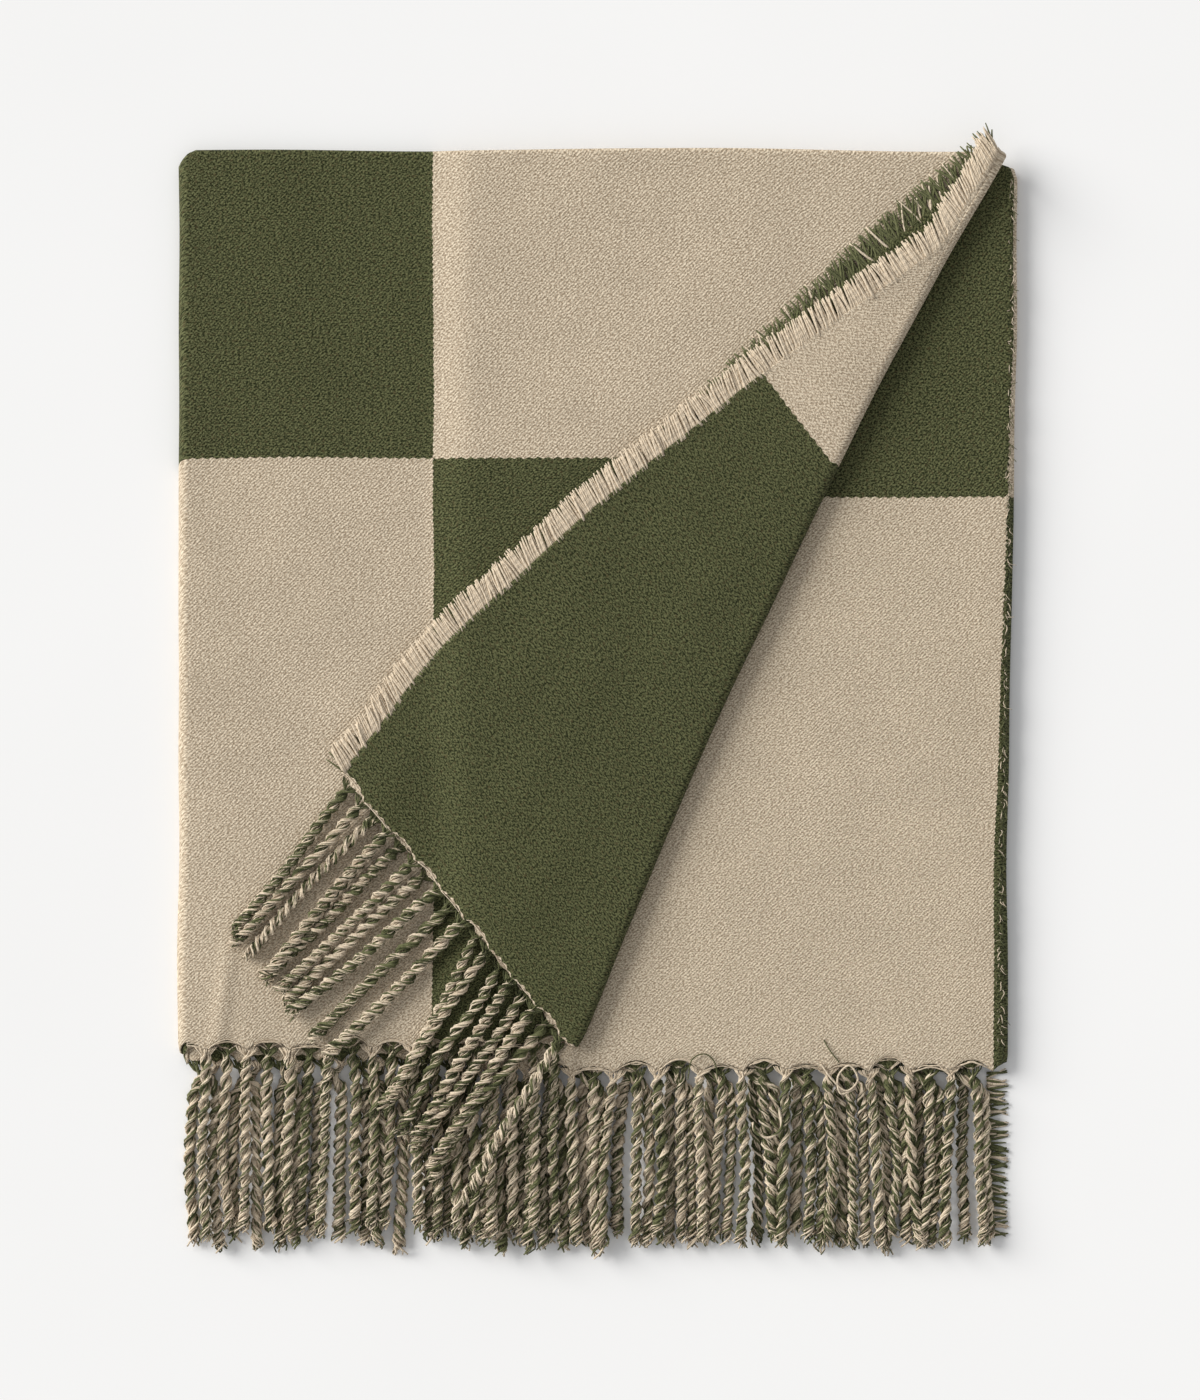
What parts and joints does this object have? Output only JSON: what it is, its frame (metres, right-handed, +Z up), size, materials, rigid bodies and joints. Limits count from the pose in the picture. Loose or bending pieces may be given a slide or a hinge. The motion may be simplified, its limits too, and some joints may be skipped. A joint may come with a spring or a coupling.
{
  "type": "folded throw blanket",
  "caption": "Fringed double-faced throw blanket, folded in half and then in three, with one corner turned back; the front panel and the corner open on hinges.",
  "frame": {"origin": "middle of the underside of the folded blanket, on the table", "axes": "+Z up off the table, +Y along the blanket from the fringe to the folded top edge, +X from the left fold to the right fold"},
  "size_m": [0.59, 0.777, 0.0236],
  "materials": {
    "cloth": "brushed double-faced twill in large moss green and beige blocks",
    "fringe": "twisted tassels of green and beige yarn with frayed ends",
    "woven_edge": "short cut weft ends along the woven edge"
  },
  "bodies": {
    "folded_stack": {"back_inner_fringe": "fringe", "back_inner_leaf": "cloth", "back_outer_fringe": "fringe", "back_outer_leaf": "cloth", "back_top_fold": "cloth", "inner_lower_eyelash": "woven_edge", "inner_lower_fringe": "fringe", "inner_lower_leaf": "cloth", "inner_top_fold": "cloth", "inner_upper_eyelash": "woven_edge", "inner_upper_fringe": "fringe", "inner_upper_leaf": "cloth", "left_fold_inner": "cloth", "left_fold_outer": "cloth", "lower_right_woven_edge": "woven_edge", "right_fold_inner": "cloth", "right_fold_outer": "cloth"},
    "front_panel": {"front_lower_fringe": "fringe", "front_lower_leaf": "cloth", "front_top_fold": "cloth", "front_upper_fringe": "fringe", "front_upper_leaf": "cloth", "crease_fold_inner": "cloth", "crease_fold_outer": "cloth"},
    "turned_corner": {"corner_lower_eyelash": "woven_edge", "corner_lower_fringe": "fringe", "corner_lower_leaf": "cloth", "corner_tassel_01": "fringe", "corner_tassel_02": "fringe", "corner_tassel_03": "fringe", "corner_tassel_04": "fringe", "corner_tassel_05": "fringe", "corner_tassel_06": "fringe", "corner_tassel_07": "fringe", "corner_tassel_08": "fringe", "corner_tassel_09": "fringe", "corner_upper_eyelash": "woven_edge", "corner_upper_leaf": "cloth"}
  },
  "joints": [
    {"name": "front_panel_fold", "type": "hinge", "parent": "folded_stack", "child": "front_panel", "pos_m": [-0.2892, 0, 0.0058], "axis": [0, -1, 0], "range_deg": [0, 145], "deforming": ["left_fold_inner", "left_fold_outer"]},
    {"name": "corner_fold", "type": "hinge", "parent": "front_panel", "child": "turned_corner", "pos_m": [-0.013, -0.2435, 0.0178], "axis": [0.4182, 0.9083, 0], "range_deg": [0, 165], "deforming": ["crease_fold_inner", "crease_fold_outer"]}
  ]
}
